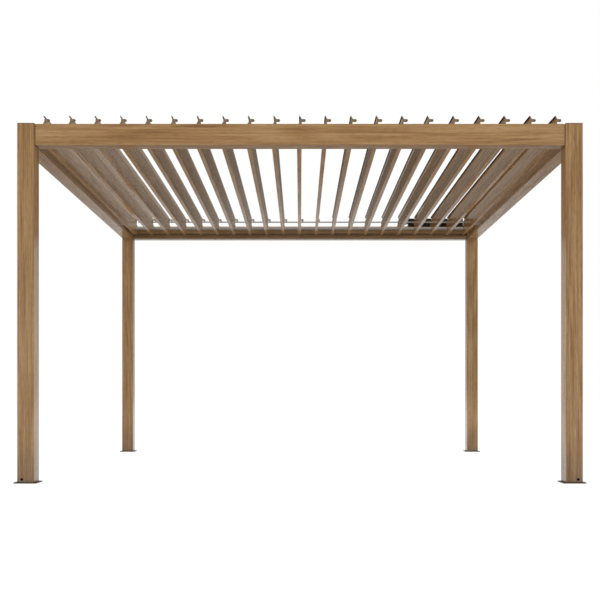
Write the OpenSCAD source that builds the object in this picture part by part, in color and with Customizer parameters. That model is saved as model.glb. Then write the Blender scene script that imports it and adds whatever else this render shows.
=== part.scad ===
// Motorized pergola: four hollow posts carry a ring of box beams with inner gutters.
// Tilting louvres run from front to rear between them, joined by one drive bar at the rear
// and moved by a linear actuator that lies on the rear beam.
// X runs to the right, Y to the rear and Z up. The origin is the middle of the footprint,
// on the ground. Every length is in millimetres.

/* [Footprint] */
// Width over the outer faces of the posts
width = 4000; // [3200:50:4200]
// Depth over the outer faces of the posts
depth = 4000; // [3000:50:4200]
// Height from the ground to the top of the post caps
height = 2550; // [2100:10:2900]

/* [Posts] */
// Side of a square post
post_w = 120; // [100:2:150]
// Wall of a post
post_wall = 3; // [2:0.5:5]
// Thickness of a post cap's plate
cap_t = 4; // [2:0.5:8]
// How deep a cap's plug reaches into the post
cap_plug = 15; // [8:1:30]

/* [Base plates] */
// How far a base plate reaches past each face of its post
base_margin = 20; // [18:1:30]
// Thickness of a base plate
base_t = 8; // [5:1:14]
// Radius of an anchor hole
anchor_r = 4.5; // [3:0.5:6]
// Distance from an anchor hole's centre to the plate's edge
anchor_edge = 10; // [8:0.5:11]

/* [Drain] */
// Radius of the drain hole at the foot of each front post
drain_r = 8; // [4:0.5:12]
// Distance from the drain hole's centre to the post's outer edge
drain_edge = 32; // [20:1:60]
// Height of the drain hole's centre above the base plate
drain_rise = 20; // [14:1:60]
// Width of the water slot from a gutter's end into its post
inlet_w = 40; // [20:1:44]
// Height of the water slot
inlet_h = 20; // [8:1:26]

/* [Beams] */
// Height of a beam
beam_h = 150; // [130:2:220]
// Thickness of a beam's hollow box
beam_w = 45; // [30:1:56]
// Wall of the box
beam_wall = 3; // [2:0.5:5]
// How far a beam's outer face stands back from the post's face
beam_recess = 6; // [2:1:10]
// How far a beam's top lies below the top of the post caps
beam_drop = 5; // [0:1:30]
// Width of the dark joint between a beam's end and the post
joint_gap = 8; // [4:1:12]
// How far the joint's filler stands back from the beam's faces
joint_inset = 1.5; // [0.5:0.5:2.5]
// Length of a corner connector's spigot in the beam
spigot_len = 60; // [30:1:120]
// Clearance of the spigots and of the cap plugs, on each side
fit_gap = 0.3; // [0.1:0.1:1]

/* [Gutters] */
// Width of a gutter, from the box's inner face to its lip's inner side
gutter_w = 63; // [50:1:66]
// Wall of a gutter
gutter_wall = 3; // [2:0.5:4]
// Height of a gutter's lip
lip_h = 37; // [30:1:38]
// Height of a gutter's back leg, which is fixed to the box
back_h = 70; // [40:1:80]

/* [Louvres] */
// Distance between two louvres' pivots
pitch = 184.3; // [180:0.1:215]
// Height of the pivots above the beams' underside
pivot_rise = 145; // [145:1:150]
// Distance from the pivot to a blade's lower edge, and to its upper one
blade_reach = 99.5; // [90:0.5:99.5]
// Thickness of a blade's hollow body
blade_t = 19.5; // [14:0.5:22]
// How far the lower edge's drip lip stands out to the left
drip_out = 12; // [4:1:14]
// Thickness of the drip lip
drip_t = 3; // [2:0.5:6]
// Height above the pivot at which the body ends and the shoulder starts
shoulder_z = 42; // [34:1:46]
// Height from there to the shoulder's crown
crown_rise = 33.5; // [30:0.5:38]
// How far the crown stands out to the right of the body
crown_out = 3; // [2:0.5:8]
// Width of the neck below the crown
neck_t = 5; // [4:0.5:8]
// How far the neck lies below the crown
neck_drop = 5; // [4:0.5:7]
// Thickness of the hook that leans back from the crown
hook_t = 6; // [4:0.5:6]
// How far the hook's tip leans to the left of the pivot
hook_lean = 1; // [0:0.5:5]
// Least clearance of the louvres from the side beams
side_gap = 6; // [5:0.5:12]
// Clearance of the louvres' ends from the posts
end_gap = 6; // [5:0.5:12]

/* [Pivots] */
// Radius of the pivot pins
pivot_r = 5; // [3:0.5:7]
// Radial running clearance of every pin in its bore
running_gap = 0.1; // [0.05:0.01:0.1]
// Thickness of a louvre's end cap
end_cap_t = 5; // [3:0.5:8]
// Length of a bearing block along its pin
bearing_len = 20; // [12:1:26]
// Radius of a bearing block's round top
bearing_r = 12; // [9:0.5:13]
// Height of the bearing rail's front edge
rail_h = 20; // [14:1:26]
// Wall of the bearing rail
rail_wall = 4; // [3:0.5:6]
// How far the pins lie above the bearing rail
rail_drop = 14; // [12.5:0.5:18]
// How far a pivot pin reaches into a louvre's end
pin_grip = 16; // [10:1:30]
// How far a pin runs past what holds it
pin_over = 2; // [1:0.5:4]

/* [Drive bar] */
// Sideways distance from a louvre's pivot to its lug's pin
lug_x = 30.5; // [26:0.5:34]
// Height of the lug's pin above the pivot
lug_z = 64.5; // [60:0.5:68]
// Radius of a lug's round end
lug_r = 10.5; // [8:0.5:12]
// Radius of a lug's pin
lug_pin_r = 4; // [2.5:0.5:5]
// Height of the drive bar
bar_h = 14; // [12:0.5:18]
// Thickness of the drive bar
bar_t = 6; // [4:0.5:8]
// How far the drive bar's middle lies below its pins
bar_drop = 17; // [12:0.5:22]
// Radius of the round ears that carry the pins
ear_r = 8; // [6:0.5:9]
// Distance from the louvres' rear ends to the drive bar
bar_gap = 38; // [32:1:40]
// How far the drive bar runs past its first and last pins
bar_over = 12; // [8:1:14]

/* [Actuator] */
// How many louvres stand to the right of the drive bar's stud
stud_bay = 4; // [4:1:6]
// Distance from the nearest lug's pin on the left to the stud
stud_off = 37; // [34:1:50]
// Length of the housing
housing_len = 620; // [400:5:640]
// Width of the housing
housing_w = 52; // [48:1:54]
// Height of the housing
housing_h = 90; // [70:1:92]
// Size of the chamfers along the housing
housing_chamfer = 8; // [2:0.5:14]
// Distance from the housing's rear side to the posts' rear faces
housing_setback = 10; // [8:1:14]
// Length of the housing's end covers
cover_len = 22; // [10:1:60]
// How far the end covers stand out past the housing's sides
cover_out = 1.5; // [0.5:0.5:3]
// Radius of the push rod
rod_r = 7; // [5:0.5:9]
// Height of the push rod's axis above the beam
rod_rise = 40; // [36:1:44]
// How much of the push rod shows at rest, with the louvres open
rod_out = 12; // [8:1:20]
// Stroke of the push rod, from open to closed
stroke = 93.2; // [88:0.1:96]
// How much of the push rod stays in the housing at full stroke
rod_guide = 110; // [60:1:140]
// Room behind the push rod when it is drawn in
rod_room = 12; // [6:1:30]
// Length of the block between the push rod and the yoke
block_len = 20; // [14:1:30]
// Radius of the stud that the yoke pushes
stud_r = 5; // [3:0.5:6]
// Sideways play of the stud in the yoke's slot, on each side
slot_play = 5.5; // [4.5:0.5:6]
// How far the stud sinks from its place at rest, and then the slot's room below it
slot_down = 27.5; // [27:0.5:31]
// How far the stud rises from its place at rest, and then the slot's room above it
slot_up = 9; // [8.5:0.5:12]
// Frame of the yoke around its slot
yoke_rim = 7; // [4:0.5:9]
// Thickness of the yoke
yoke_t = 8; // [5:0.5:10]
// Distance from the drive bar to the yoke
yoke_gap = 18; // [12:1:19]
// How far the stud runs past the yoke
stud_over = 6; // [2:0.5:8]
// Length of the stud's foot on the drive bar
foot_len = 24; // [16:1:30]
// Thickness of the stud's foot
foot_t = 4; // [3:0.5:6]

/* [Hidden] */
$fn = 48;
eps = 1;  // how far a cut runs past the faces that it opens

// Roof: heights and the clear width for the louvres
beam_top = height - beam_drop;
beam_z = beam_top - beam_h;
pivot_z = beam_z + pivot_rise;
clear_w = width - 2 * (beam_recess + beam_w);
louvre_n = floor((clear_w - 2 * blade_reach - 2 * side_gap) / pitch) + 1;
louvre_len = depth - 2 * (post_w + end_gap);

// Places measured inwards from the plane of the posts' outer faces
box_in = beam_recess + beam_w;
rail_in = post_w;
lip_in = box_in + gutter_w;

// Linkage, in Y from the middle of the pergola and in Z from the ground
bar_y = louvre_len / 2 + bar_gap;
lug_pin_z = pivot_z + lug_z;
bar_z = lug_pin_z - bar_drop;
housing_y = depth / 2 - housing_setback - housing_w / 2;
rod_z = beam_top + rod_rise;
yoke_y = bar_y + bar_t + yoke_gap;
yoke_w = 2 * (stud_r + slot_play + yoke_rim);
stud_x = louvre_x(louvre_n - stud_bay) + lug_x + stud_off;
block_x = stud_x + yoke_w / 2;
actuator_x = block_x + block_len + rod_out;
slot_z = lug_pin_z - slot_down - stud_r;
slot_top = lug_pin_z + slot_up + stud_r;

// Colours
wood = [0.61, 0.48, 0.34];
bronze = [0.27, 0.25, 0.23];
dark = [0.12, 0.11, 0.10];
steel = [0.60, 0.60, 0.59];

function pad(i) = i < 10 ? str("0", i) : str(i);
function louvre_name(i) = str("louvre_", pad(i));
function louvre_x(i) = (i - (louvre_n + 1) / 2) * pitch;
function side_len(k) = (k % 2 == 0 ? width : depth) - 2 * (post_w + joint_gap);

SIDES = ["rear", "left", "front", "right"];
CORNERS = [["front_left", -1, -1], ["front_right", 1, -1], ["rear_left", -1, 1], ["rear_right", 1, 1]];

// Sets a piece on a post's axis, with +X and +Y pointing out of the pergola
module at_corner(sx, sy) {
    translate([sx * (width - post_w) / 2, sy * (depth - post_w) / 2, 0])
        mirror([sx < 0 ? 1 : 0, 0, 0])
            mirror([0, sy < 0 ? 1 : 0, 0])
                children();
}

// Sets a piece on side k, with X along the side and Y = 0 in the plane of the posts' outer faces
module at_side(k) {
    rotate(90 * k)
        translate([0, (k % 2 == 0 ? depth : width) / 2, 0])
            children();
}

// The two slots that let water from the gutters into a post, in the corner's frame
module water_slots() {
    slot_mid = post_w / 2 - (box_in + lip_in) / 2;
    slot_bottom = beam_z + gutter_wall;
    for (turn = [0, 1])
        mirror([turn, -turn, 0])
            translate([-post_w / 2 - joint_gap - eps, slot_mid - inlet_w / 2, slot_bottom])
                cube([joint_gap + post_wall + 2 * eps, inlet_w, inlet_h]);
}

module post(sx, sy) {
    inner = post_w - 2 * post_wall;
    len = height - cap_t - base_t;
    color(wood) at_corner(sx, sy) difference() {
        translate([-post_w / 2, -post_w / 2, base_t]) cube([post_w, post_w, len]);
        translate([-inner / 2, -inner / 2, base_t - eps]) cube([inner, inner, len + 2 * eps]);
        water_slots();
        if (sy < 0)
            translate([post_w / 2 - drain_edge, post_w / 2 + eps, base_t + drain_rise])
                rotate([90, 0, 0]) cylinder(r = drain_r, h = post_wall + 2 * eps);
    }
}

module base_plate(sx, sy) {
    side = post_w + 2 * base_margin;
    hole = side / 2 - anchor_edge;
    color(bronze) at_corner(sx, sy) difference() {
        translate([-side / 2, -side / 2, 0]) cube([side, side, base_t]);
        for (x = [-hole, hole], y = [-hole, hole])
            translate([x, y, -eps]) cylinder(r = anchor_r, h = base_t + 2 * eps);
    }
}

// Four caps, each a plate on the post's end with a plug inside it
module post_caps() {
    plug = post_w - 2 * (post_wall + fit_gap);
    color(wood) for (c = CORNERS) at_corner(c[1], c[2]) {
        translate([-post_w / 2, -post_w / 2, height - cap_t]) cube([post_w, post_w, cap_t]);
        translate([-plug / 2, -plug / 2, height - cap_t - cap_plug]) cube([plug, plug, cap_plug + cap_t / 2]);
    }
}

// A hollow box, open at both ends, where the corner connectors' spigots go in
module beam(k) {
    len = side_len(k);
    color(wood) at_side(k) translate([-len / 2, -box_in, beam_z]) difference() {
        cube([len, beam_w, beam_h]);
        translate([-eps, beam_wall, beam_wall])
            cube([len + 2 * eps, beam_w - 2 * beam_wall, beam_h - 2 * beam_wall]);
    }
}

// A channel along the box's inner face, with its floor level with the beam's underside
module gutter(k) {
    len = side_len(k);
    outline = [
        [-box_in, 0], [-box_in, back_h], [-box_in - gutter_wall, back_h],
        [-box_in - gutter_wall, gutter_wall], [-lip_in + gutter_wall, gutter_wall],
        [-lip_in + gutter_wall, lip_h], [-lip_in, lip_h], [-lip_in, 0]
    ];
    color(wood) at_side(k) translate([-len / 2, 0, beam_z])
        rotate([90, 0, 90]) linear_extrude(height = len) polygon(outline);
}

// The joint's dark filler between a beam with its gutter and the post, with a spigot in the beam
module connector(k) {
    start = side_len(k) / 2;
    depth_in = beam_wall + fit_gap;
    outer_y = -beam_recess - joint_inset;
    filler = [
        [outer_y, joint_inset], [outer_y, beam_h - joint_inset], [-box_in + joint_inset, beam_h - joint_inset],
        [-box_in + joint_inset, lip_h - joint_inset], [-lip_in + joint_inset, lip_h - joint_inset],
        [-lip_in + joint_inset, joint_inset]
    ];
    translate([start, 0, beam_z]) rotate([90, 0, 90]) linear_extrude(height = joint_gap) polygon(filler);
    translate([start - spigot_len, -box_in + depth_in, beam_z + depth_in])
        cube([spigot_len + joint_gap / 2, beam_w - 2 * depth_in, beam_h - 2 * depth_in]);
}

module corner_connectors() {
    color(dark) difference() {
        for (k = [0:3]) at_side(k) for (end = [0, 1]) mirror([end, 0, 0]) connector(k);
        for (c = CORNERS) at_corner(c[1], c[2]) water_slots();
    }
}

// An angled shelf on the box's inner face, with a round-topped bearing block for every louvre
module bearing_rail(k) {
    len = side_len(k);
    shelf = pivot_z - rail_drop;
    outline = [
        [-box_in, shelf], [-rail_in, shelf], [-rail_in, shelf - rail_h], [-rail_in + rail_wall, shelf - rail_h],
        [-rail_in + rail_wall, shelf - rail_wall], [-box_in - rail_wall, shelf - rail_wall],
        [-box_in - rail_wall, shelf - rail_h], [-box_in, shelf - rail_h]
    ];
    color(steel) at_side(k) {
        translate([-len / 2, 0, 0]) rotate([90, 0, 90]) linear_extrude(height = len) polygon(outline);
        for (i = [1:louvre_n]) translate([louvre_x(i), -rail_in, 0]) {
            translate([-bearing_r, 0, shelf - rail_wall / 2])
                cube([2 * bearing_r, bearing_len, rail_drop + rail_wall / 2]);
            translate([0, bearing_len, pivot_z])
                rotate([90, 0, 0]) cylinder(r = bearing_r, h = bearing_len);
            translate([0, bearing_len + pin_over, pivot_z])
                rotate([90, 0, 0]) cylinder(r = pivot_r, h = pin_over + bearing_len + end_gap + pin_grip);
        }
    }
}

// The blade's section in X and Z from its pivot: body, drip lip below, and the hook that leans
// over the next blade when the roof is closed
module blade_section() {
    half = blade_t / 2;
    crown = [half + crown_out, shoulder_z + crown_rise];
    tip = [-hook_lean, blade_reach];
    along = (tip - crown) / norm(tip - crown);
    under = [-along[1], along[0]] * hook_t;
    polygon([
        [-half - drip_out, -blade_reach], [half, -blade_reach], [half, shoulder_z], crown, tip,
        tip + under, crown - [neck_t, neck_drop], [-half, shoulder_z],
        [-half, -blade_reach + drip_t], [-half - drip_out, -blade_reach + drip_t]
    ]);
}

// Extrudes a section in X and Z over len, to the front from the Y where it is put
module extrude_y(len) {
    rotate([90, 0, 0]) linear_extrude(height = len) children();
}

module lug(len) {
    extrude_y(len) union() {
        translate([lug_x, lug_z]) circle(r = lug_r);
        translate([0, lug_z - lug_r]) square([lug_x, 2 * lug_r]);
    }
}

module louvre(i) {
    half_len = louvre_len / 2;
    color(wood) translate([louvre_x(i), 0, pivot_z]) difference() {
        union() {
            translate([0, half_len, 0]) extrude_y(louvre_len) blade_section();
            for (end = [0, 1]) mirror([0, end, 0]) translate([0, half_len, 0]) lug(end_cap_t);
        }
        for (end = [0, 1]) mirror([0, end, 0]) translate([0, half_len + eps, 0])
            rotate([90, 0, 0]) cylinder(r = pivot_r + running_gap, h = pin_grip + pin_over + eps);
        translate([lug_x, half_len + eps, lug_z])
            rotate([90, 0, 0]) cylinder(r = lug_pin_r + running_gap, h = end_cap_t + 2 * eps);
    }
}

module drive_bar() {
    first = louvre_x(1) + lug_x;
    last = louvre_x(louvre_n) + lug_x;
    color(steel) {
        translate([first - bar_over, bar_y, bar_z - bar_h / 2])
            cube([last - first + 2 * bar_over, bar_t, bar_h]);
        for (i = [1:louvre_n]) translate([louvre_x(i) + lug_x, bar_y, bar_z]) {
            translate([-ear_r, 0, 0]) cube([2 * ear_r, bar_t, bar_drop]);
            translate([0, bar_t, bar_drop]) rotate([90, 0, 0]) {
                cylinder(r = ear_r, h = bar_t);
                cylinder(r = lug_pin_r, h = bar_t + bar_gap + end_cap_t + pin_over);
            }
        }
    }
}

// The stud that the yoke pushes, on a foot at the drive bar's rear side
module bar_stud() {
    reach = yoke_gap + yoke_t + stud_over;
    color(steel) translate([stud_x, bar_y + bar_t, lug_pin_z]) {
        translate([-foot_len / 2, 0, -bar_drop - bar_h / 2]) cube([foot_len, foot_t, bar_drop + bar_h]);
        translate([0, reach, 0]) rotate([90, 0, 0]) cylinder(r = stud_r, h = reach - foot_t / 2);
    }
}

// The housing's section in Y and Z, grown by out on its three free sides
module housing_section(out) {
    half = housing_w / 2 + out;
    top = housing_h + out;
    polygon([
        [-half, 0], [half, 0], [half, top - housing_chamfer], [half - housing_chamfer, top],
        [-half + housing_chamfer, top], [-half, top - housing_chamfer]
    ]);
}

module actuator_housing() {
    color(dark) difference() {
        translate([actuator_x, housing_y, beam_top]) rotate([90, 0, 90]) {
            linear_extrude(height = housing_len) housing_section(0);
            linear_extrude(height = cover_len) housing_section(cover_out);
            translate([0, 0, housing_len - cover_len])
                linear_extrude(height = cover_len) housing_section(cover_out);
        }
        translate([actuator_x - eps, housing_y, rod_z]) rotate([0, 90, 0])
            cylinder(r = rod_r + running_gap, h = eps + stroke + rod_guide + rod_room);
    }
}

// The push rod with its block and the slotted yoke around the drive bar's stud
module actuator_rod() {
    block_h = 2 * (rod_r + yoke_rim);
    color(steel) {
        translate([block_x, housing_y, rod_z]) rotate([0, 90, 0])
            cylinder(r = rod_r, h = block_len + rod_out + stroke + rod_guide);
        translate([block_x, yoke_y, rod_z - block_h / 2])
            cube([block_len, housing_y + rod_r + yoke_rim - yoke_y, block_h]);
        difference() {
            translate([stud_x - yoke_w / 2, yoke_y, slot_z - yoke_rim])
                cube([yoke_w + block_len / 2, yoke_t, slot_top - slot_z + 2 * yoke_rim]);
            translate([stud_x - stud_r - slot_play, yoke_y - eps, slot_z])
                cube([2 * (stud_r + slot_play), yoke_t + 2 * eps, slot_top - slot_z]);
        }
    }
}

for (c = CORNERS) {
    post(c[1], c[2]);
    base_plate(c[1], c[2]);
}
post_caps();
for (k = [0:3]) {
    beam(k);
    gutter(k);
}
corner_connectors();
bearing_rail(2);  // bearing_rail_front
bearing_rail(0);  // bearing_rail_rear
for (i = [1:louvre_n]) {
    louvre(i);
}
drive_bar();
bar_stud();
actuator_housing();
actuator_rod();
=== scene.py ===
import math
import bmesh
import bpy
import numpy as np
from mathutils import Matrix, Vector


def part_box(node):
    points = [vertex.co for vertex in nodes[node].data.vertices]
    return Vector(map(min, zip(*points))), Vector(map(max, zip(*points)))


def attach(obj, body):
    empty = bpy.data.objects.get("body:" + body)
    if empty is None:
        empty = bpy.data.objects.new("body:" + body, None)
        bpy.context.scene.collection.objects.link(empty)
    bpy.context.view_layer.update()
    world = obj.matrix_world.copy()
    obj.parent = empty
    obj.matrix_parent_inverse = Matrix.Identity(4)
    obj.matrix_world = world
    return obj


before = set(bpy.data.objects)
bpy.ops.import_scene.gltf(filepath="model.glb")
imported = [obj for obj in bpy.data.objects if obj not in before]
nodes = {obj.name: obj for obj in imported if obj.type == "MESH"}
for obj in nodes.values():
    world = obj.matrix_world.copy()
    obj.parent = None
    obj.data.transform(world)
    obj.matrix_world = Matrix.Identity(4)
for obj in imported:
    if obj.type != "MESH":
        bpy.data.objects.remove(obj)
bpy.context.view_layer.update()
print("frame loaded with", len(nodes), "nodes")


# Shader sums. A Wire holds one output socket, and an expression on wires adds its Math nodes.
class Wire:
    def __init__(self, tree, socket=None):
        self.tree = tree
        self.socket = socket

    # Adds any node: its settings first, then the value or link of each socket, and gives back one output
    def node(self, kind, settings=None, sockets=None, out=0):
        made = self.tree.nodes.new(kind)
        for name, value in (settings or {}).items():
            if name == "stops":
                elements = made.color_ramp.elements
                elements.remove(elements[1])
                elements[0].position, elements[0].color = value[0]
                for place, colour in value[1:]:
                    elements.new(place).color = colour
            else:
                setattr(made, name, value)
        for name, value in (sockets or {}).items():
            if isinstance(value, Wire):
                self.tree.links.new(value.socket, made.inputs[name])
            else:
                made.inputs[name].default_value = value
        return Wire(self.tree, made.outputs[out])

    def math(self, operation, first, second=0.0):
        return self.node("ShaderNodeMath", {"operation": operation}, {0: first, 1: second})

    def __add__(self, other):
        return self.math("ADD", self, other)

    def __radd__(self, other):
        return self.math("ADD", other, self)

    def __sub__(self, other):
        return self.math("SUBTRACT", self, other)

    def __rsub__(self, other):
        return self.math("SUBTRACT", other, self)

    def __mul__(self, other):
        return self.math("MULTIPLY", self, other)

    def __abs__(self):
        return self.math("ABSOLUTE", self)

    # 0 below low, 1 above high, and a smooth rise between them
    def rise(self, low, high):
        settings = {"interpolation_type": "SMOOTHSTEP"}
        return self.node("ShaderNodeMapRange", settings, {0: self, 1: low, 2: high})

    # A number between low and high, chosen by this wire from 0 to 1
    def between(self, low, high):
        return low + self * (high - low)

    # One colour where this wire is 0 and the other where it is 1
    def colours(self, first, second):
        return self.node("ShaderNodeMix", {"data_type": "RGBA"}, {0: self, 6: first, 7: second}, out=2)

    # This wire as the height of a bump
    def bump(self, strength, depth):
        return self.node("ShaderNodeBump", {}, {"Strength": strength, "Distance": depth, "Height": self})


# The linear colour of red, green and blue written from 0 to 255, by the usual screen curve
def paint(red, green, blue):
    parts = [part / 255 for part in (red, green, blue)]
    linear = (part / 12.92 if part <= 0.04045 else ((part + 0.055) / 1.055) ** 2.4 for part in parts)
    return tuple(linear) + (1.0,)


# A new material, its Principled shader and a wire to start its sums from
def newFinish(name):
    finish = bpy.data.materials.new(name)
    finish.use_nodes = True
    tree = finish.node_tree
    return finish, tree.nodes["Principled BSDF"], Wire(tree)


# Puts numbers and colours on the shader's own sockets, and links wires to them
def setShader(shader, tree, **sockets):
    for name, value in sockets.items():
        socket = shader.inputs[name.replace("_", " ")]
        if isinstance(value, Wire):
            tree.links.new(value.socket, socket)
        else:
            socket.default_value = value


# The object's own coordinates, divided along one axis so that a pattern on them comes out long
def drawnOut(start, along, stretch, shift=(0.0, 0.0, 0.0)):
    scale = [1.0, 1.0, 1.0]
    scale[along] = 1.0 / stretch
    place = start.node("ShaderNodeTexCoord", out="Object")
    return start.node("ShaderNodeMapping", {}, {"Vector": place, "Location": shift, "Scale": scale})


def noise(start, place, scale, detail, rough=0.5):
    sockets = {"Vector": place, "Scale": scale, "Detail": detail, "Roughness": rough}
    return start.node("ShaderNodeTexNoise", {}, sockets)


# The object's own coordinate along one axis
def placeAlong(start, axis):
    place = start.node("ShaderNodeTexCoord", out="Object")
    return start.node("ShaderNodeSeparateXYZ", {}, {0: place}, out=axis)


# A colour multiplied by a tint
def tinted(start, colour, tint):
    settings = {"data_type": "RGBA", "blend_type": "MULTIPLY"}
    return start.node("ShaderNodeMix", settings, {0: 1.0, 6: colour, 7: tint}, out=2)


# Wood-look powder coat. A slow noise drawn out along the profile gives hills, and the sine of their height
# draws the grain lines round them. Finer noises add streaks, bands and pores. The weighted sum runs from the
# dark to the pale tone.
woodCoat = {
    "dark": paint(137, 98, 59),
    "middle": paint(170, 131, 86),
    "pale": paint(190, 155, 110),
    "pore": paint(112, 80, 46),
    "stops": (0.30, 0.50, 0.70),      # where the sum has the dark, the middle and the pale tone
    # Each noise: how far it is drawn out, how fine it is across, its detail and its roughness
    "hills": (11.0, 4.2, 1.0, 0.4),
    "sway": (3.0, 2.2, 1.0, 0.5),
    "streaks": (48.0, 84.0, 3.0, 0.6),
    "bands": (9.0, 11.0, 2.0, 0.5),
    "pores": (34.0, 520.0, 2.0, 0.55),
    "hillLines": 70.0,                # how close the grain lines lie
    "swayLines": 9.0,                 # and how far they sway
    "shares": {"lines": 0.09, "streaks": 0.72, "bands": 0.12, "pores": 0.22},
    "darken": 0.075,
    "poreEdge": (0.47, 0.36),
    "poreShare": 0.42,
    "roughness": (0.14, 0.24),
    "lineRelief": 0.25,
    "poreRelief": 0.5,
    "bump": 0.20,
    "bumpDepth": 0.0006,
}


# The sum of lines, streaks, bands and pores, then the pores alone, from 0 to 1, and the lines alone
def woodGrain(start, along, shift):
    def layer(name):
        stretch, size, detail, rough = woodCoat[name]
        return noise(start, drawnOut(start, along, stretch, shift), size, detail, rough)

    pores = layer("pores")
    phase = layer("hills") * woodCoat["hillLines"] + layer("sway") * woodCoat["swayLines"]
    lines = start.math("SINE", phase) * 0.5 + 0.5
    share = woodCoat["shares"]
    grain = lines * share["lines"] + layer("streaks") * share["streaks"] + layer("bands") * share["bands"]
    grain = grain + pores * share["pores"] - woodCoat["darken"]
    return grain, pores.rise(*woodCoat["poreEdge"]), lines


# A wood coat whose grain runs along one axis. Its tone and its gloss follow the grain, contrast spreads the
# tones about the middle one, and change may put another finish on part of it, and also painted light and
# painted shade.
def woodFinish(name, along, shift=(0.0, 0.0, 0.0), tint=None, change=None, contrast=1.0, gloss=None):
    finish, shader, start = newFinish(name)
    grain, pores, lines = woodGrain(start, along, shift)
    grain = grain * contrast + woodCoat["stops"][1] * (1 - contrast)
    tones = [(place, woodCoat[tone]) for place, tone in zip(woodCoat["stops"], ("dark", "middle", "pale"))]
    colour = start.node("ShaderNodeValToRGB", {"stops": tones}, {0: grain})
    colour = (pores * woodCoat["poreShare"]).colours(colour, woodCoat["pore"])
    if tint:
        colour = tinted(start, colour, tint)
    smooth, rough = gloss or woodCoat["roughness"]
    roughness = grain.between(rough, smooth)
    if change:
        colour, roughness = change(start, colour, roughness)
    relief = lines * woodCoat["lineRelief"] - pores * woodCoat["poreRelief"] + grain
    bump = relief.bump(woodCoat["bump"], woodCoat["bumpDepth"])
    setShader(shader, start.tree, Base_Color=colour, Roughness=roughness, Normal=bump)
    return finish


# Louvres: the blade is coated, its front cap is moulded and its rear cap, on the linkage, is cast metal. The
# place along Y tells them apart. The blade's underside is painted a little paler, as painted light.
bladeLow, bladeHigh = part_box("louvre_11")
blade = {
    "gloss": (0.10, 0.18),
    "caps": (-0.0052, -0.0050),          # from the blade's end
    "moulded": paint(138, 116, 84),
    "cast": paint(214, 211, 204),
    "capRoughness": 0.5,
    "underside": (0.0007, 0.0001),       # above the blade's lowest point
    "underPaintedLight": (1.12, 1.10, 1.06, 1.0),
}


def bladeChange(start, colour, roughness):
    # Painted light: the blade's underside is made paler
    under = placeAlong(start, 2).rise(*[bladeLow[2] + lift for lift in blade["underside"]])
    colour = under.colours(colour, tinted(start, colour, blade["underPaintedLight"]))
    depth = placeAlong(start, 1)
    ends = abs(depth).rise(*[bladeHigh[1] + place for place in blade["caps"]])
    cap = depth.rise(-1.0, 1.0).colours(blade["moulded"], blade["cast"])
    return ends.colours(colour, cap), roughness * (1 - ends) + ends * blade["capRoughness"]


# The rear beam's inner face stands in the louvres' shade; its colour there is painted paler and bluer, as
# painted light.
rearInnerPaintedLight = {
    "depth": (0.016, 0.006),             # behind the face: no tint from the first on, all of it to the second
    "tint": (1.62, 1.90, 2.20, 1.0),
}


def paintRearInnerLight(start, colour, roughness):
    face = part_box("beam_rear")[0][1]
    inner = placeAlong(start, 1).rise(*[face + depth for depth in rearInnerPaintedLight["depth"]])
    return inner.colours(colour, tinted(start, colour, rearInnerPaintedLight["tint"])), roughness


# Drawn or mill-finish metal has fine lines along an axis and a slow cloud
drawnMetal = {
    "lineStretch": 120.0,
    "toneEdge": (0.32, 0.62),
    "darker": 2.2,                    # how far the darker tone lies below the tone, times the contrast
    "glossSpread": 0.07,
    "bump": 0.12,
    "bumpDepth": 0.0003,
}


# How pale it is and how rough, both from 0 to 1, and the bump of its lines
def drawingLines(start, along, lineSize, cloudStretch, cloudSize):
    lines = noise(start, drawnOut(start, along, drawnMetal["lineStretch"]), lineSize, 3.0, 0.6)
    cloud = noise(start, drawnOut(start, along, cloudStretch), cloudSize, 3.0)
    paler = (lines * 0.6 + cloud * 0.4).rise(*drawnMetal["toneEdge"])
    return paler, lines * 0.5 + cloud * 0.5, lines.bump(drawnMetal["bump"], drawnMetal["bumpDepth"])


# Plain metal whose tone and roughness the lines and the cloud vary
def metalFinish(name, along, tone, roughness, metallic, lineSize=900.0, contrast=0.10):
    finish, shader, start = newFinish(name)
    paler, rougher, bump = drawingLines(start, along, lineSize, 2.0, 9.0)
    darker = tuple(part * (1 - drawnMetal["darker"] * contrast) for part in tone[:3]) + (1.0,)
    spread = drawnMetal["glossSpread"]
    setShader(shader, start.tree, Base_Color=paler.colours(darker, tone), Metallic=metallic, Normal=bump,
              Roughness=rougher.between(roughness - spread, roughness + spread))
    return finish


# Powder coat or moulded plastic: a fine even pebble in the bump, a slow cloud in tone and gloss
pebbled = {"cloudSize": 7.0, "cloudEdge": (0.35, 0.65), "darker": 0.82, "bumpDepth": 0.0004,
           "glossSpread": 0.06}


def pebbleFinish(name, tone, roughness, fineness=1100.0, bump=0.25, change=None):
    finish, shader, start = newFinish(name)
    place = start.node("ShaderNodeTexCoord", out="Object")
    pebbles = noise(start, place, fineness, 2.0)
    cloud = noise(start, place, pebbled["cloudSize"], 3.0)
    darker = tuple(part * pebbled["darker"] for part in tone[:3]) + (1.0,)
    colour = cloud.rise(*pebbled["cloudEdge"]).colours(darker, tone)
    height = pebbles
    if change:
        colour, height = change(start, colour, height)
    spread = pebbled["glossSpread"]
    setShader(shader, start.tree, Base_Color=colour, Normal=height.bump(bump, pebbled["bumpDepth"]),
              Roughness=(cloud * 0.6 + pebbles * 0.4).between(roughness - spread, roughness + spread))
    return finish


# The actuator's tube has shallow grooves along it between its two end covers: the low parts of a sine over
# its height. Their colour is drawn darker, as painted shade in the grooves.
housingLow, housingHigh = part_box("actuator_housing")
groove = {
    "cover": 0.022,                   # length of an end cover
    "end": 0.001,                     # over which the grooves fade out
    "step": 0.0085,
    "edge": (-0.2, -0.75),            # where a groove starts and where it is full, on the sine
    "depth": 3.0,                     # in the height that the pebbles have
    "tone": paint(8, 8, 8),
    "share": 0.6,
}


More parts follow.
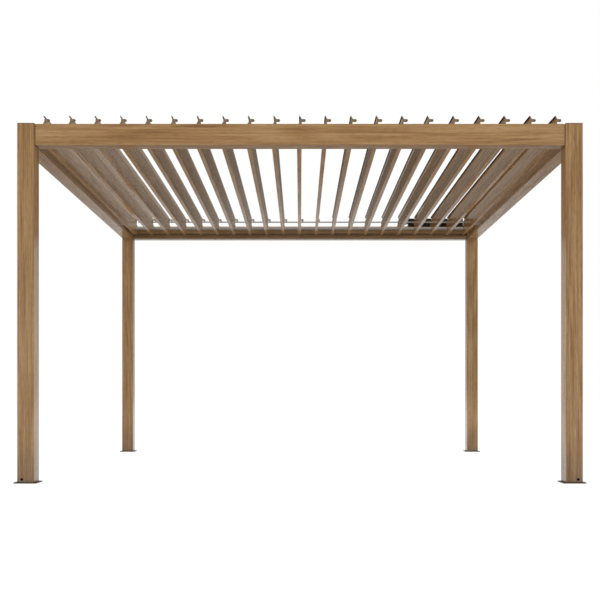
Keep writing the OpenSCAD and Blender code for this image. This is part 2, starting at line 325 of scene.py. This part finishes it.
def grooveChange(start, colour, height):
    across, up = placeAlong(start, 0), placeAlong(start, 2)
    left, right = housingLow[0] + groove["cover"], housingHigh[0] - groove["cover"]
    tube = across.rise(left, left + groove["end"]) * across.rise(right, right - groove["end"])
    wave = start.math("SINE", up * (2 * math.pi / groove["step"]))
    grooves = wave.rise(*groove["edge"]) * tube
    # Painted shade: the grooves' colour is drawn darker
    return (grooves * groove["share"]).colours(colour, groove["tone"]), height - grooves * groove["depth"]


# Rails: bare metal, with the bearing blocks above their shelf in moulded plastic and steel pins on their
# inner side
rail = {
    "shelf": 2.5260,                  # the height of the shelf that the blocks stand on
    "aboveShelf": (0.0004, 0.0007),
    "pinEnd": (1.8796, 1.8798),
    "block": paint(58, 54, 48),
    "blockRoughness": 0.55,
    "dark": paint(222, 216, 206),
    "pale": paint(240, 236, 228),
    "roughness": (0.30, 0.46),
    "metallic": 0.30,
}


def railFinish(name):
    finish, shader, start = newFinish(name)
    outside = abs(placeAlong(start, 1)).rise(*rail["pinEnd"])
    blocks = placeAlong(start, 2).rise(*[rail["shelf"] + lift for lift in rail["aboveShelf"]]) * outside
    paler, rougher, bump = drawingLines(start, 0, 700.0, 3.0, 8.0)
    roughness = rougher.between(*rail["roughness"]) * (1 - blocks) + blocks * rail["blockRoughness"]
    colour = blocks.colours(paler.colours(rail["dark"], rail["pale"]), rail["block"])
    setShader(shader, start.tree, Base_Color=colour, Roughness=roughness, Normal=bump,
              Metallic=(1 - blocks) * rail["metallic"])
    return finish


# Posts: grain upright and a little darker, with painted shade darkening them towards the foot, and each post
# has its own piece of the pattern. The rear posts' paler tint is painted light.
postLook = {
    # the rear posts' paler tint is painted light, standing in for the light that the roof keeps off them
    "tint": {"front": (0.88, 0.87, 0.83, 1.0), "rear": (0.98, 0.97, 0.93, 1.0)},
    "contrast": 1.2,
    "footPaintedShade": paint(44, 30, 14),
    "footShadeMost": 0.36,
    "footShadeUp": (0.40, -0.02),          # none above the first height, most at the second
}
postShifts = {"front_left": (0.0, 0.0, 0.0), "front_right": (0.37, 0.11, 0.05),
              "rear_left": (0.71, 0.23, 0.13), "rear_right": (0.19, 0.47, 0.29)}


# Painted shade: the posts' colour darkens towards the foot, standing in for the shade near the floor
def paintFootShade(start, colour, roughness):
    footPaintedShade = placeAlong(start, 2).rise(*postLook["footShadeUp"]) * postLook["footShadeMost"]
    return footPaintedShade.colours(colour, postLook["footPaintedShade"]), roughness


# Painted shade: the rear gutter's coat is darkened, standing in for the louvres' shade on it
rearGutterShadeTint = (0.72, 0.75, 0.80, 1.0)
postFinishes = {}
for corner, shift in postShifts.items():
    tint = postLook["tint"][corner.split("_")[0]]
    postFinishes[corner] = woodFinish("woodPost_" + corner, 2, shift, tint, paintFootShade, postLook["contrast"])
crossFinishes = {"front": woodFinish("woodFront", 0),
                 "rear": woodFinish("woodRear", 0, (0.31, 0.0, 0.17), change=paintRearInnerLight)}
gutterFinishes = {"front": woodFinish("woodGutterFront", 0, (0.13, 0.0, 0.07)),
                  "rear": woodFinish("woodGutterRear", 0, (0.23, 0.0, 0.11), rearGutterShadeTint)}
sideFinish = woodFinish("woodSides", 1)
bladeFinish = woodFinish("woodBlades", 1, (0.05, 0.0, 0.21), change=bladeChange, gloss=blade["gloss"])
bronzeFinish = pebbleFinish("darkBronze", paint(86, 71, 54), 0.46)
capFinish = pebbleFinish("capBronze", paint(96, 82, 64), 0.46)
railMetal = railFinish("railMetal")
linkMetal = metalFinish("linkageMetal", 0, paint(200, 199, 193), 0.36, 0.35)
blackFinish = pebbleFinish("blackHousing", paint(33, 32, 30), 0.42, 900.0, bump=0.35, change=grooveChange)
fillerFinish = pebbleFinish("darkFiller", paint(146, 114, 74), 0.62, 1500.0, bump=0.15)
sleeveFinish = pebbleFinish("greyNylon", paint(196, 194, 188), 0.5, 1600.0, bump=0.15)
lugScrewFinish = pebbleFinish("lugScrew", paint(130, 108, 78), 0.5)
steelFinish = metalFinish("bareSteel", 1, paint(186, 184, 178), 0.28, 1.0, lineSize=1400.0, contrast=0.05)
nylonFinish = pebbleFinish("blackNylon", paint(30, 29, 28), 0.5, 1600.0, bump=0.15)
rubberFinish = pebbleFinish("sealRubber", paint(22, 21, 20), 0.7, 1300.0, bump=0.3)
print("materials made")


# CAD nodes keep their meshes. Weld joins their triangles, Decimate makes each flat face whole, and Bevel
# rounds the edges of the drawn profiles.
edges = {"posts": 0.0030, "beams": 0.0020, "blades": 0.0007, "plates": 0.0010, "small": 0.0004}
dressing = {"joined": 0.00001, "flatWithin": math.radians(0.4), "edgeFrom": math.radians(32), "edgeSteps": 2}


def dress(name, finish, edge):
    piece = nodes[name]
    for slot in piece.material_slots:
        slot.material = finish
    weld = piece.modifiers.new("weld", "WELD")
    weld.merge_threshold = dressing["joined"]
    whole = piece.modifiers.new("whole", "DECIMATE")
    whole.decimate_type = "DISSOLVE"
    whole.angle_limit = dressing["flatWithin"]
    bevel = piece.modifiers.new("edges", "BEVEL")
    bevel.width = edge
    bevel.segments = dressing["edgeSteps"]
    bevel.limit_method = "ANGLE"
    bevel.angle_limit = dressing["edgeFrom"]
    bevel.harden_normals = True
    bevel.use_clamp_overlap = True


for corner, finish in postFinishes.items():
    dress("post_" + corner, finish, edges["posts"])
    dress("base_plate_" + corner, bronzeFinish, edges["plates"])
for side in ("front", "rear"):
    dress("beam_" + side, crossFinishes[side], edges["beams"])
    dress("gutter_" + side, gutterFinishes[side], edges["blades"])
    dress("bearing_rail_" + side, railMetal, edges["small"])
for side in ("left", "right"):
    dress("beam_" + side, sideFinish, edges["beams"])
    dress("gutter_" + side, sideFinish, edges["blades"])
louvreNames = sorted(name for name in nodes if name.startswith("louvre_"))
for name in louvreNames:
    dress(name, bladeFinish, edges["blades"])
dress("post_caps", capFinish, edges["plates"])
dress("corner_connectors", fillerFinish, edges["small"])
for name in ("drive_bar", "bar_stud", "actuator_rod"):
    dress(name, linkMetal, edges["small"])
dress("actuator_housing", blackFinish, edges["plates"])
print("CAD nodes dressed")


# Numbers the points of each grid in order, repeats the first row or column where the grid closes on itself,
# and takes the four corners of every cell
def cellsOf(copies, rows, columns, closeRows, closeColumns, first):
    ids = first + np.arange(copies * rows * columns).reshape(copies, rows, columns)
    if closeRows:
        ids = np.concatenate([ids, ids[:, :1]], axis=1)
    if closeColumns:
        ids = np.concatenate([ids, ids[:, :, :1]], axis=2)
    corners = [ids[:, :-1, :-1], ids[:, 1:, :-1], ids[:, 1:, 1:], ids[:, :-1, 1:]]
    return np.stack(corners, axis=-1).reshape(-1, 4)


meshCare = {"joined": 0.000002, "sharpFrom": math.radians(38)}


# Makes one piece from sheets of (points by copy, row and column, closed rows, closed columns, finish number)
def makePiece(name, sheets, finishes, body):
    points, cells, numbers, count = [], [], [], 0
    for grid, closeRows, closeColumns, number in sheets:
        copies, rows, columns = grid.shape[:3]
        made = cellsOf(copies, rows, columns, closeRows, closeColumns, count)
        points.append(grid.reshape(-1, 3))
        cells.append(made)
        numbers.append(np.full(len(made), number, dtype=np.int32))
        count += copies * rows * columns
    mesh = bpy.data.meshes.new(name)
    mesh.from_pydata(np.concatenate(points).tolist(), [], np.concatenate(cells).tolist())
    for finish in finishes:
        mesh.materials.append(finish)
    mesh.polygons.foreach_set("material_index", np.concatenate(numbers))
    work = bmesh.new()
    work.from_mesh(mesh)
    bmesh.ops.remove_doubles(work, verts=work.verts, dist=meshCare["joined"])
    bmesh.ops.recalc_face_normals(work, faces=work.faces)
    work.to_mesh(mesh)
    work.free()
    mesh.shade_smooth()
    mesh.set_sharp_from_angle(angle=meshCare["sharpFrom"])
    piece = bpy.data.objects.new(name, mesh)
    bpy.context.scene.collection.objects.link(piece)
    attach(piece, body)


# A profile of (radius, height) pairs carried round an axis through each centre. Heights run along the axis
# where facing is 1 and against it where facing is -1.
def turned(profile, centres, axis, facing=1, sides=12):
    radius, height = np.array(profile, dtype=float).T
    angle = np.linspace(0, 2 * math.pi, sides, endpoint=False)
    shape = np.zeros((len(radius), sides, 3))
    shape[..., (axis + 1) % 3] = radius[:, None] * np.cos(angle)
    shape[..., (axis + 2) % 3] = radius[:, None] * np.sin(angle)
    shape[..., axis] = facing * height[:, None]
    return np.asarray(centres, dtype=float)[:, None, None, :] + shape


# A closed section of points in the two other axes carried straight along an axis, its ends drawn to their
# middle
def drawn(section, axis, start, end):
    section = np.asarray(section, dtype=float)
    middle = np.repeat(section.mean(axis=0, keepdims=True), len(section), axis=0)
    others = [other for other in range(3) if other != axis]
    shape = np.zeros((1, 4, len(section), 3))
    outlines = ((middle, start), (section, start), (section, end), (middle, end))
    for row, (outline, place) in enumerate(outlines):
        shape[0, row, :, others[0]] = outline[:, 0]
        shape[0, row, :, others[1]] = outline[:, 1]
        shape[0, row, :, axis] = place
    return shape


# A flat strip of rectangular section carried along a path in the XZ plane, from low to high along Y
def strip(path, thick, low, high):
    path = np.asarray(path, dtype=float)
    run = np.gradient(path, axis=0)
    run /= np.linalg.norm(run, axis=1, keepdims=True)
    away = np.stack([-run[:, 1], run[:, 0]], axis=1) * thick / 2
    rows = []
    for side, place in ((1, low), (1, high), (-1, high), (-1, low)):
        edge = path + side * away
        rows.append(np.stack([edge[:, 0], np.full(len(path), place), edge[:, 1]], axis=1))
    shape = np.stack(rows, axis=1)
    ends = [np.repeat(shape[index].mean(axis=0, keepdims=True), 4, axis=0)[None] for index in (0, -1)]
    return np.concatenate([ends[0], shape, ends[1]], axis=0)[None]


# A round head of the given (radius, height) shares, its rim sunk a little into what it stands on
def roundHead(shares, radius, height, sunk=0.0002):
    return [(radius * wide, height * high) for wide, high in shares] + [(radius, -sunk), (0, -sunk)]


# Pan-head screw: a round socket, a dome and a flat rim
panShares = [(0, 0.35), (0.40, 0.35), (0.44, 0.96), (0.80, 0.86), (1, 0.34)]


def panHead(radius, height):
    return roundHead(panShares, radius, height)


# Louvres' small parts: two cap screws and a flanged bush at each end, a screw in the front lug, and the
# rubber bead under the hook, widened as partly painted shade. Each set rides on its own louvre.
louvreTrim = {
    "capScrewDrops": (0.034, 0.080),    # below the pivot
    "screwRadius": 0.0034,
    "screwHeight": 0.0018,
    "lugAcross": 0.0305,                # the lug's middle, from the pivot
    "lugUp": 0.0645,
    "lugRadius": 0.0105,
    "top": 0.0995,                      # the hook's tip, above the pivot
    "lugScrewRadius": 0.0048,
    "lugScrewHeight": 0.0026,
    "bushBore": 0.0053,
    "bushFlange": 0.0086,
    "bushHeight": 0.0024,
    "bushEdge": 0.0006,
    "beadFromTip": 0.0070,
    "beadHalf": 0.0066,
    "beadRise": 0.0034,
    "beadShort": 0.006,                 # how far the bead stays short of the blade's ends
    "beadSunk": 0.12,                   # how far its round runs into the hook, in half turns
}
# Two points on the hook's upper face, from the pivot in X and Z, and the hook's thickness
hook = {"tip": (-0.001, 0.0995), "crown": (0.01275, 0.0755), "thick": 0.006}


# A louvre's pivot in X and Z, from its box: the lug is its rightmost part and the hook its highest
def pivotOf(name):
    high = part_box(name)[1]
    return high[0] - louvreTrim["lugAcross"] - louvreTrim["lugRadius"], high[2] - louvreTrim["top"]


# The middle of a louvre's lug in X and Z
def lugOf(name):
    x, z = pivotOf(name)
    return x + louvreTrim["lugAcross"], z + louvreTrim["lugUp"]


# The rubber bead's section in X and Z: more than half an oval, on the hook's lower face. The seal is made
# wide so that its dark rubber also stands in for the shade in the groove under the hook: partly painted
# shade.
def hookBeadAndShade(name):
    tip, crown = np.array(hook["tip"]), np.array(hook["crown"])
    back = (crown - tip) / np.linalg.norm(crown - tip)
    under = np.array([back[1], -back[0]])
    seat = np.array(pivotOf(name)) + tip + under * hook["thick"] + back * louvreTrim["beadFromTip"]
    sunk = louvreTrim["beadSunk"]
    turn = np.linspace(-sunk * math.pi, (1 + sunk) * math.pi, 11)[:, None]
    half, rise = louvreTrim["beadHalf"], louvreTrim["beadRise"]
    return seat + half * np.cos(turn) * back + rise * np.sin(turn) * under


def makeLouvreTrim(name):
    x, z = pivotOf(name)
    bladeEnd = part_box(name)[1][1]
    capScrew = panHead(louvreTrim["screwRadius"], louvreTrim["screwHeight"])
    bore, flange, height = louvreTrim["bushBore"], louvreTrim["bushFlange"], louvreTrim["bushHeight"]
    edge = louvreTrim["bushEdge"]
    bush = [(bore, 0.0), (flange, 0.0), (flange, height * 0.7), (flange - edge, height), (bore, height)]
    sheets = []
    for facing in (-1, 1):
        places = [(x, facing * bladeEnd, z - drop) for drop in louvreTrim["capScrewDrops"]]
        sheets.append((turned(capScrew, places, 1, facing), False, True, 0))
        sheets.append((turned(bush, [(x, facing * bladeEnd, z)], 1, facing, 16), True, True, 1))
    lugX, lugZ = lugOf(name)
    lugScrew = panHead(louvreTrim["lugScrewRadius"], louvreTrim["lugScrewHeight"])
    sheets.append((turned(lugScrew, [(lugX, -bladeEnd, lugZ)], 1, -1, 16), False, True, 3))
    reach = bladeEnd - louvreTrim["beadShort"]
    sheets.append((drawn(hookBeadAndShade(name), 1, -reach, reach), False, True, 2))
    makePiece(name + "_trim", sheets, [steelFinish, nylonFinish, rubberFinish, lugScrewFinish], name)


for name in louvreNames:
    makeLouvreTrim(name)
print("louvre trim made")


# A retaining ring round each pivot pin where it leaves the outer face of its bearing block
pinRing = {
    "bore": 0.0051,
    "outer": 0.0080,
    "thick": 0.0012,
    "edge": 0.0005,
    "sunk": 0.0001,
    "endGap": 0.006,            # between a blade's end and its bearing block
    "blockThick": 0.020,
}


def makePinRings():
    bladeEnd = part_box("louvre_11")[1][1]
    face = bladeEnd + pinRing["endGap"] + pinRing["blockThick"]
    bore, outer, thick, sunk = pinRing["bore"], pinRing["outer"], pinRing["thick"], pinRing["sunk"]
    profile = [(bore, -sunk), (outer, -sunk), (outer, thick * 0.7), (outer - pinRing["edge"], thick),
               (bore, thick)]
    sheets = []
    for facing in (-1, 1):
        places = [(x, facing * face, z) for x, z in map(pivotOf, louvreNames)]
        sheets.append((turned(profile, places, 1, facing, 14), True, True, 0))
    makePiece("pin_rings", sheets, [steelFinish], "frame")


# Spacer sleeves on the drive bar's pins and a press-on washer at each pin's inner end, which ride on the bar
link = {
    "reach": 0.038,                     # from the blade's end to the bar
    "play": 0.0015,
    "bore": 0.0041,
    "collar": (0.0080, 0.0022),         # radius and length
    "sleeve": (0.0066, 0.0030),         # radius and where it starts
    "sleeveEdge": (0.0008, 0.0010),     # depth and length
    "sleeveGap": 0.0012,
    "washer": 0.0074,
    "washerEdge": 0.0006,
    "washerHeights": (0.0004, 0.0008, 0.0011),
    "washerFace": (0.0012, -0.0002),    # its flat ring, from the bore outwards
    "lugThick": 0.005,
    "washerGap": 0.0008,
}


def makeLinkParts():
    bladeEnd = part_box("louvre_11")[1][1]
    reach = link["reach"] - link["play"]
    bore, (collar, collarEnd), (wide, wideFrom) = link["bore"], link["collar"], link["sleeve"]
    chamfer, length = link["sleeveEdge"]
    sleeve = [(bore, 0.0), (collar, 0.0), (collar, collarEnd), (wide, wideFrom), (wide, reach - length),
              (wide - chamfer, reach), (bore, reach)]
    outer, edge, (low, middle, high) = link["washer"], link["washerEdge"], link["washerHeights"]
    face, inner = [bore + away for away in link["washerFace"]]
    washer = [(inner, 0.0), (outer - edge, 0.0), (outer, low), (outer - edge, middle), (face, high),
              (inner, high)]
    sleeves = [(x, bladeEnd + link["sleeveGap"], z) for x, z in map(lugOf, louvreNames)]
    inside = bladeEnd - link["lugThick"] - link["washerGap"]
    washers = [(x, inside, z) for x, z in map(lugOf, louvreNames)]
    sheets = [(turned(sleeve, sleeves, 1, 1, 16), True, True, 0),
              (turned(washer, washers, 1, -1, 16), True, True, 1)]
    makePiece("link_spacers", sheets, [sleeveFinish, steelFinish], "drive_bar")


# Screws that hold the rails to the beams, and blind rivets along the gutters' back legs
fixings = {
    "railY": 1.932,             # the rails' screws stand in a line at this Y, none of them past the end
    "railEnd": 1.86,
    "spacing": 0.98,            # as a share of two louvre pitches
    "railRadius": 0.0048,
    "railHeight": 0.0026,
    "rivetStep": 0.41,
    "rivetUp": 0.054,
    "rivetIn": 0.003,
    "rivetRadius": 0.0038,
    "rivetHeight": 0.0011,
    "rivetRim": 0.0002,
}


def makeFixings():
    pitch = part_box("louvre_12")[1][0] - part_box("louvre_11")[1][0]
    across = (np.arange(-5, 6) * 2 + 0.5) * pitch * fixings["spacing"]
    places = [(x, facing * fixings["railY"], rail["shelf"]) for facing in (-1, 1) for x in across
              if abs(x) < fixings["railEnd"]]
    screws = turned(panHead(fixings["railRadius"], fixings["railHeight"]), places, 2)
    radius, height, rim = fixings["rivetRadius"], fixings["rivetHeight"], fixings["rivetRim"]
    rivet = [(0, height), (radius * 0.3, height), (radius * 0.8, height * 0.8), (radius, rim), (radius, -rim),
             (0, -rim)]
    sheets = [(screws, False, True, 0)]
    along = np.arange(-4, 5) * fixings["rivetStep"]
    low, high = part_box("gutter_rear")
    depth, up = high[1] - fixings["rivetIn"], low[2] + fixings["rivetUp"]
    for facing in (-1, 1):
        sheets.append((turned(rivet, [(x, facing * depth, up) for x in along], 1, -facing), False, True, 1))
        sheets.append((turned(rivet, [(facing * depth, y, up) for y in along], 0, -facing), False, True, 1))
    makePiece("rail_and_gutter_fixings", sheets, [steelFinish, capFinish], "frame")


# Weld bead where each post stands on its plate: a small round section carried round a square with soft
# corners
bead = {"height": 0.0036, "corner": 0.002, "sunk": (0.0006, 0.0004), "fullness": 0.9}


def makeWelds():
    low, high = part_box("post_front_left")
    half = (high[0] - low[0]) / 2
    bend = np.linspace(0, math.pi / 2, 5)
    turn = (np.arange(4)[:, None] * math.pi / 2 + bend).ravel()
    ways = np.stack([np.cos(turn), np.sin(turn)], axis=1)
    centre = np.repeat(np.array([(1, 1), (-1, 1), (-1, -1), (1, -1)]), 5, axis=0) * (half - bead["corner"])
    height, (sunkIn, sunkDown) = bead["height"], bead["sunk"]
    swell = np.linspace(0, math.pi / 2, 6)
    out = np.concatenate([[-sunkIn], height * np.cos(swell) ** bead["fullness"], [-sunkIn]])
    up = np.concatenate([[-sunkDown], height * np.sin(swell) ** bead["fullness"], [height]])
    ring = np.zeros((len(out), len(turn), 3))
    ring[..., :2] = centre + ways * (bead["corner"] + out)[:, None, None]
    ring[..., 2] = low[2] + up[:, None]
    places = []
    for corner in postShifts:
        low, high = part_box("post_" + corner)
        places.append(((low[0] + high[0]) / 2, (low[1] + high[1]) / 2, 0.0))
    grid = np.array(places)[:, None, None, :] + ring
    makePiece("foot_welds", [(grid, True, True, 0)], [bronzeFinish], "frame")


# Drain sleeves in the two front posts and flat plugs on the posts' inner side faces
drain = {"up": 0.028, "fromEdge": 0.032, "radius": 0.0079, "deep": 0.0060}
plug = {"up": 0.104, "radius": 0.0062, "height": 0.0010, "sunk": 0.0003,
        "shares": [(0, 1), (0.55, 0.96), (0.85, 0.75), (1, 0.2)]}


def makePlugs():
    low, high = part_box("post_front_right")
    holes = [(side * (high[0] - drain["fromEdge"]), low[1], drain["up"]) for side in (-1, 1)]
    # The sleeve's rim and tube, as (away from the hole's radius, height)
    rim = [(0.0, 0.0001), (0.0018, 0.0001), (0.0018, 0.0008), (0.0010, 0.0014), (-0.0012, 0.0014),
           (-0.0016, 0.0008), (-0.0016, -drain["deep"]), (0.0, -drain["deep"])]
    sleeve = [(drain["radius"] + away, height) for away, height in rim]
    sheets = [(turned(sleeve, holes, 1, -1, 24), True, True, 0)]
    dome = roundHead(plug["shares"], plug["radius"], plug["height"], plug["sunk"])
    middle = (low[1] + high[1]) / 2
    for side in (-1, 1):
        places = [(side * low[0], depth, plug["up"]) for depth in (middle, -middle)]
        sheets.append((turned(dome, places, 0, -side, 20), False, True, 1))
    makePiece("drain_sleeves_and_plugs", sheets, [rubberFinish, capFinish], "frame")


# Actuator: two angle feet with screws, cover screws, a wiper round the push rod and a blanked cable gland
foot = {
    "length": 0.030,
    "rise": 0.015,
    "thick": 0.003,
    "bend": 0.005,
    "low": 1.9535,                      # from here to there along Y
    "high": 1.9865,
    "under": 0.0001,                    # its gaps to the beam and to the housing
    "beside": 0.0002,
}
actuatorTrim = {
    "footScrew": (0.0042, 0.0026),      # radius and height of its head
    "footScrewOut": 0.0205,
    "footScrewSides": (-0.009, 0.009),
    "coverScrew": (0.0030, 0.0016),
    "coverScrewIn": 0.011,
    "coverScrewPlaces": (0.0165, 0.0365),
    "rodUp": 0.040,                     # the push rod's axis, above the housing's underside
    "glandUp": 0.056,
    "wiper": [(0.0072, 0.0), (0.0125, 0.0), (0.0125, 0.0016), (0.0105, 0.0034), (0.0086, 0.0058),
              (0.0074, 0.0066), (0.0072, 0.0050)],
    "gland": [(0, 0.0205), (0.0042, 0.0200), (0.0062, 0.0180), (0.0066, 0.0150), (0.0066, 0.0110),
              (0.0088, 0.0106), (0.0088, 0.0052), (0.0074, 0.0050), (0.0074, 0.0012), (0.0092, 0.0010),
              (0.0092, -0.0004), (0, -0.0004)],
}


# The path of a foot's middle, out from its tip, round the bend and up beside the housing's end cover
def footPath(end, facing):
    turn = np.linspace(-math.pi / 2, 0, 6)
    corner = np.stack([np.cos(turn), np.sin(turn)], axis=1) * foot["bend"]
    bent = np.array([-foot["bend"], foot["bend"]]) + corner
    path = np.concatenate([[[-foot["length"], 0.0]], bent, [[0.0, foot["rise"]]]])
    across = end + facing * (foot["thick"] / 2 + foot["beside"] - path[:, 0])
    lift = housingLow[2] + foot["thick"] / 2 + foot["under"]
    return np.stack([across, lift + path[:, 1]], axis=1)


def makeActuatorParts():
    bottom = housingLow[2]
    footMiddle = (foot["low"] + foot["high"]) / 2
    middle = (housingLow[1] + housingHigh[1]) / 2
    footScrew, coverScrew = panHead(*actuatorTrim["footScrew"]), panHead(*actuatorTrim["coverScrew"])
    sheets = []
    for facing, end in ((-1, housingLow[0]), (1, housingHigh[0])):
        bracket = strip(footPath(end, facing), foot["thick"], foot["low"], foot["high"])
        sheets.append((bracket, False, True, 0))
        out = end + facing * actuatorTrim["footScrewOut"]
        spots = [(out, footMiddle + side, bottom + foot["thick"]) for side in actuatorTrim["footScrewSides"]]
        sheets.append((turned(footScrew, spots, 2, 1, 14), False, True, 1))
        inward = end - facing * actuatorTrim["coverScrewIn"]
        depths = [housingLow[1] + place for place in actuatorTrim["coverScrewPlaces"]]
        spots = [(inward, depth, housingHigh[2]) for depth in depths]
        sheets.append((turned(coverScrew, spots, 2, 1, 12), False, True, 1))
    rod = (housingLow[0], middle, bottom + actuatorTrim["rodUp"])
    sheets.append((turned(actuatorTrim["wiper"], [rod], 0, -1, 24), True, True, 2))
    cable = (housingHigh[0], middle, bottom + actuatorTrim["glandUp"])
    sheets.append((turned(actuatorTrim["gland"], [cable], 0, 1, 24), False, True, 2))
    makePiece("actuator_fittings", sheets, [linkMetal, steelFinish, rubberFinish], "frame")


makePinRings()
makeLinkParts()
makeFixings()
makeWelds()
makePlugs()
makeActuatorParts()
print("frame trim made")


# Camera: level, low and straight in front, raised view by lens shift
eye = {"place": (0.0, -8.571, 0.604), "lens": 55.75, "sensor": 36.0, "shift": 0.1633, "sees": 300.0}


def makeCamera():
    data = bpy.data.cameras.new("camera")
    data.lens = eye["lens"]
    data.sensor_width = eye["sensor"]
    data.shift_y = eye["shift"]
    data.clip_end = eye["sees"]
    camera = bpy.data.objects.new("camera", data)
    camera.location = eye["place"]
    camera.rotation_euler = (math.radians(90), 0.0, 0.0)
    bpy.context.scene.collection.objects.link(camera)
    bpy.context.scene.camera = camera


# Two broad lamps from the upper front: the way to each, its power and how wide it is in degrees
lamps = {"key": ((-0.62, -0.72, 0.80), 0.36, 12.0), "fill": ((0.70, -0.66, 0.75), 0.46, 20.0)}


def makeLamp(name, way, power, spread):
    data = bpy.data.lights.new(name, "SUN")
    data.energy = power
    data.angle = math.radians(spread)
    lamp = bpy.data.objects.new(name, data)
    lean = math.atan2(math.hypot(way[0], way[1]), way[2])
    lamp.rotation_euler = (lean, 0.0, math.atan2(way[1], way[0]) + math.pi / 2)
    bpy.context.scene.collection.objects.link(lamp)


# Whether a ray comes straight from the camera, from a glossy surface or through glass
def rayKinds(start):
    kinds = ("Is Camera Ray", "Is Glossy Ray", "Is Transmission Ray")
    return [start.node("ShaderNodeLightPath", out=kind) for kind in kinds]


# 1 between the middle two of four places, and 0 beyond the outer two
def plateau(wire, places):
    return wire.rise(places[0], places[1]) * wire.rise(places[3], places[2])


# Light: an even pale room. Only reflections see the glow, the gaps and the panels.
plainWhite = (1.0, 1.0, 1.0, 1.0)
room = {
    "light": (1.12, 0.45),              # at the horizon and overhead
    "glowTone": (1.0, 0.965, 0.88, 1.0),
    "glowBand": (0.02, 0.25),           # palest near the horizon and darker above it
    "glowAbove": 0.160,
    "glowSides": (0.20, 0.26),          # the pale part reaches higher at the sides
    "glowLift": 0.28,
    "gap": (0.070, 0.105),              # a darker band a little to each side of the rear
    "gapDepth": 0.93,                   # and how much it takes away
    "panel": (0.14, 0.19, 0.28, 0.34),  # a pale panel beyond it on each side, by its place across and up
    "panelUp": (0.10, 0.18, 0.27, 0.34),
    "panelLight": (0.12, 0.24),         # on the left and on the right
    "panelSides": (-0.02, 0.02),
}


def makeRoom():
    world = bpy.data.worlds.new("room")
    world.use_nodes = True
    bpy.context.scene.world = world
    start = Wire(world.node_tree)
    toCamera, inGloss, inGlass = rayKinds(start)
    way = start.node("ShaderNodeTexCoord", out="Generated")
    across, up = [start.node("ShaderNodeSeparateXYZ", {}, {0: way}, out=axis) for axis in (0, 2)]
    panelLight = across.rise(*room["panelSides"]).between(*room["panelLight"])
    across, up = abs(across), abs(up)
    height = up * (1 - across.rise(*room["glowSides"]) * room["glowLift"])
    panel = plateau(across, room["panel"]) * plateau(up, room["panelUp"])
    gap = across.rise(*room["gap"]) * (1 - across.rise(*room["panel"][:2]))
    shine = height.rise(*room["glowBand"]).between(1.0, room["glowAbove"])
    shine = shine * (1 - gap * room["gapDepth"]) + panel * panelLight
    dome = up.rise(0.0, 1.0).between(*room["light"])
    seen = start.math("MINIMUM", toCamera + inGlass, 1.0)
    strength = seen + inGloss * shine + start.math("MAXIMUM", 1 - seen - inGloss, 0.0) * dome
    tone = inGloss.colours(plainWhite, room["glowTone"])
    background = world.node_tree.nodes["Background"]
    world.node_tree.links.new(tone.socket, background.inputs["Color"])
    world.node_tree.links.new(strength.socket, background.inputs["Strength"])


# Floor: to the camera mostly plain white, with the rest keeping the shadow; it mirrors the pale room only at
# a low angle
ground = {
    "reach": 90.0,
    "level": -0.0004,
    "tone": (0.80, 0.80, 0.80, 1.0),
    "reflected": (0.05, 0.05, 0.05, 1.0),
    "whiteShare": 0.80,
    "whiteLight": 1.16,
    "sheen": (0.795, 0.850),
}


def floorMaterial():
    finish, shader, start = newFinish("paleFloor")
    tree = start.tree
    tree.nodes.remove(shader)
    toCamera, inGloss, inGlass = rayKinds(start)
    low = start.node("ShaderNodeLayerWeight", {}, {"Blend": 0.5}, out="Facing").rise(*ground["sheen"])
    share = start.math("MINIMUM", toCamera + inGlass, 1.0) * ground["whiteShare"] + inGloss * low
    tone = inGloss.colours(ground["tone"], ground["reflected"])
    matt = start.node("ShaderNodeBsdfDiffuse", {}, {"Color": tone})
    white = start.node("ShaderNodeEmission", {}, {"Color": plainWhite, "Strength": ground["whiteLight"]})
    mixed = start.node("ShaderNodeMixShader", {}, {0: share, 1: matt, 2: white})
    tree.links.new(mixed.socket, tree.nodes["Material Output"].inputs["Surface"])
    return finish


def makeFloor():
    reach, level = ground["reach"], ground["level"]
    corners = [(-reach, -reach, level), (reach, -reach, level), (reach, reach, level), (-reach, reach, level)]
    mesh = bpy.data.meshes.new("floor")
    mesh.from_pydata(corners, [], [(0, 1, 2, 3)])
    mesh.materials.append(floorMaterial())
    floor = bpy.data.objects.new("floor", mesh)
    bpy.context.scene.collection.objects.link(floor)


makeCamera()
for name, (way, power, spread) in lamps.items():
    makeLamp(name, way, power, spread)
makeRoom()
makeFloor()
bpy.context.scene.view_settings.view_transform = "Standard"
print("camera, light and floor made")
